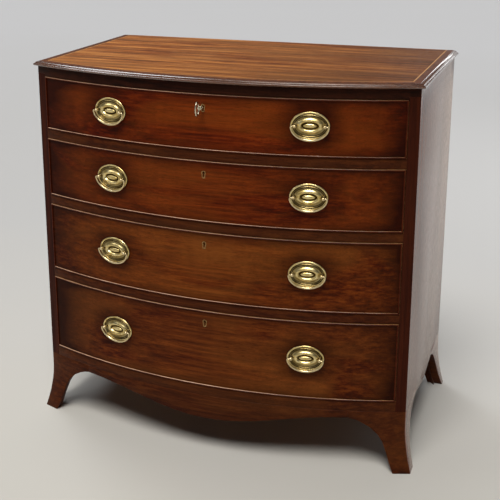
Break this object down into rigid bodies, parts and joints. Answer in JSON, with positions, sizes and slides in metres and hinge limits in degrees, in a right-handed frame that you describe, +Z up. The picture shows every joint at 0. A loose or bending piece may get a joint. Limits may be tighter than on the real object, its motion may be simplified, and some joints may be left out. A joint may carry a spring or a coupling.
{
  "type": "bow front chest of drawers",
  "caption": "Bow front chest of graduated drawers on splayed bracket feet, with a moulded top, beaded fronts, oval plate handles and a key in the top lock.",
  "frame": {"origin": "on the floor, at the middle of the bounding box in plan, which takes in the splayed feet and the key", "axes": "+X to the right of a person facing the drawers, +Y from the front to the back, +Z up; the drawers open towards -Y"},
  "size_m": [0.9456, 0.604, 0.9],
  "materials": {
    "mahogany_top": "polished orange-brown mahogany",
    "mahogany_front": "polished dark red-brown figured mahogany",
    "mahogany_carcase": "polished dark mahogany",
    "oak_lining": "dry, worn oak",
    "pine_board": "unfinished pine",
    "brass": "old polished brass",
    "iron": "dull worn iron"
  },
  "bodies": {
    "carcase": {"top_board": "mahogany_top", "side_left": "mahogany_carcase", "side_right": "mahogany_carcase", "back_panel": "pine_board", "frieze_rail": "mahogany_carcase", "drawer_divider_1": "mahogany_carcase", "drawer_divider_2": "mahogany_carcase", "drawer_divider_3": "mahogany_carcase", "carcase_bottom": "mahogany_carcase", "front_apron": "mahogany_carcase", "foot_front_left": "mahogany_carcase", "foot_front_right": "mahogany_carcase", "foot_back_left": "mahogany_carcase", "foot_back_right": "mahogany_carcase"},
    "drawer_1": {"drawer_1_front": "mahogany_front", "drawer_1_side_left": "oak_lining", "drawer_1_side_right": "oak_lining", "drawer_1_back": "oak_lining", "drawer_1_bottom": "oak_lining", "drawer_1_lock": "brass", "drawer_1_handle_plate_left": "brass", "drawer_1_handle_plate_right": "brass"},
    "drawer_1_bolt": {"drawer_1_lock_bolt": "iron"},
    "drawer_1_bail_left": {"drawer_1_handle_bail_left": "brass"},
    "drawer_1_bail_right": {"drawer_1_handle_bail_right": "brass"},
    "drawer_2": {"drawer_2_front": "mahogany_front", "drawer_2_side_left": "oak_lining", "drawer_2_side_right": "oak_lining", "drawer_2_back": "oak_lining", "drawer_2_bottom": "oak_lining", "drawer_2_lock": "brass", "drawer_2_handle_plate_left": "brass", "drawer_2_handle_plate_right": "brass"},
    "drawer_2_bolt": {"drawer_2_lock_bolt": "iron"},
    "drawer_2_bail_left": {"drawer_2_handle_bail_left": "brass"},
    "drawer_2_bail_right": {"drawer_2_handle_bail_right": "brass"},
    "drawer_3": {"drawer_3_front": "mahogany_front", "drawer_3_side_left": "oak_lining", "drawer_3_side_right": "oak_lining", "drawer_3_back": "oak_lining", "drawer_3_bottom": "oak_lining", "drawer_3_lock": "brass", "drawer_3_handle_plate_left": "brass", "drawer_3_handle_plate_right": "brass"},
    "drawer_3_bolt": {"drawer_3_lock_bolt": "iron"},
    "drawer_3_bail_left": {"drawer_3_handle_bail_left": "brass"},
    "drawer_3_bail_right": {"drawer_3_handle_bail_right": "brass"},
    "drawer_4": {"drawer_4_front": "mahogany_front", "drawer_4_side_left": "oak_lining", "drawer_4_side_right": "oak_lining", "drawer_4_back": "oak_lining", "drawer_4_bottom": "oak_lining", "drawer_4_lock": "brass", "drawer_4_handle_plate_left": "brass", "drawer_4_handle_plate_right": "brass"},
    "drawer_4_bolt": {"drawer_4_lock_bolt": "iron"},
    "drawer_4_bail_left": {"drawer_4_handle_bail_left": "brass"},
    "drawer_4_bail_right": {"drawer_4_handle_bail_right": "brass"},
    "key": {"key": "iron"}
  },
  "joints": [
    {"name": "drawer_1_slide", "type": "slide", "parent": "carcase", "child": "drawer_1", "axis": [0, -1, 0], "range_m": [0, 0.34]},
    {"name": "drawer_1_bolt_slide", "type": "slide", "parent": "drawer_1", "child": "drawer_1_bolt", "axis": [0, 0, 1], "range_m": [0, 0.008]},
    {"name": "drawer_1_bail_left_hinge", "type": "hinge", "parent": "drawer_1", "child": "drawer_1_bail_left", "pos_m": [-0.23586, -0.24609, 0.80735], "axis": [-0.9824, 0.1867, 0], "range_deg": [0, 200]},
    {"name": "drawer_1_bail_right_hinge", "type": "hinge", "parent": "drawer_1", "child": "drawer_1_bail_right", "pos_m": [0.23586, -0.24609, 0.80735], "axis": [-0.9824, -0.1867, 0], "range_deg": [0, 200]},
    {"name": "drawer_2_slide", "type": "slide", "parent": "carcase", "child": "drawer_2", "axis": [0, -1, 0], "range_m": [0, 0.34]},
    {"name": "drawer_2_bolt_slide", "type": "slide", "parent": "drawer_2", "child": "drawer_2_bolt", "axis": [0, 0, 1], "range_m": [0, 0.008]},
    {"name": "drawer_2_bail_left_hinge", "type": "hinge", "parent": "drawer_2", "child": "drawer_2_bail_left", "pos_m": [-0.23586, -0.24609, 0.65035], "axis": [-0.9824, 0.1867, 0], "range_deg": [0, 200]},
    {"name": "drawer_2_bail_right_hinge", "type": "hinge", "parent": "drawer_2", "child": "drawer_2_bail_right", "pos_m": [0.23586, -0.24609, 0.65035], "axis": [-0.9824, -0.1867, 0], "range_deg": [0, 200]},
    {"name": "drawer_3_slide", "type": "slide", "parent": "carcase", "child": "drawer_3", "axis": [0, -1, 0], "range_m": [0, 0.34]},
    {"name": "drawer_3_bolt_slide", "type": "slide", "parent": "drawer_3", "child": "drawer_3_bolt", "axis": [0, 0, 1], "range_m": [0, 0.008]},
    {"name": "drawer_3_bail_left_hinge", "type": "hinge", "parent": "drawer_3", "child": "drawer_3_bail_left", "pos_m": [-0.23586, -0.24609, 0.47335], "axis": [-0.9824, 0.1867, 0], "range_deg": [0, 200]},
    {"name": "drawer_3_bail_right_hinge", "type": "hinge", "parent": "drawer_3", "child": "drawer_3_bail_right", "pos_m": [0.23586, -0.24609, 0.47335], "axis": [-0.9824, -0.1867, 0], "range_deg": [0, 200]},
    {"name": "drawer_4_slide", "type": "slide", "parent": "carcase", "child": "drawer_4", "axis": [0, -1, 0], "range_m": [0, 0.34]},
    {"name": "drawer_4_bolt_slide", "type": "slide", "parent": "drawer_4", "child": "drawer_4_bolt", "axis": [0, 0, 1], "range_m": [0, 0.008]},
    {"name": "drawer_4_bail_left_hinge", "type": "hinge", "parent": "drawer_4", "child": "drawer_4_bail_left", "pos_m": [-0.23586, -0.24609, 0.27235], "axis": [-0.9824, 0.1867, 0], "range_deg": [0, 200]},
    {"name": "drawer_4_bail_right_hinge", "type": "hinge", "parent": "drawer_4", "child": "drawer_4_bail_right", "pos_m": [0.23586, -0.24609, 0.27235], "axis": [-0.9824, -0.1867, 0], "range_deg": [0, 200]},
    {"name": "key_turn", "type": "hinge", "parent": "drawer_1", "child": "key", "pos_m": [0, -0.257, 0.8375], "axis": [0, 1, 0], "range_deg": [0, 180]}
  ],
  "couplings": [
    {"joint": "drawer_1_bolt_slide", "follows": "key_turn", "m_per_rad": 0.002546}
  ]
}
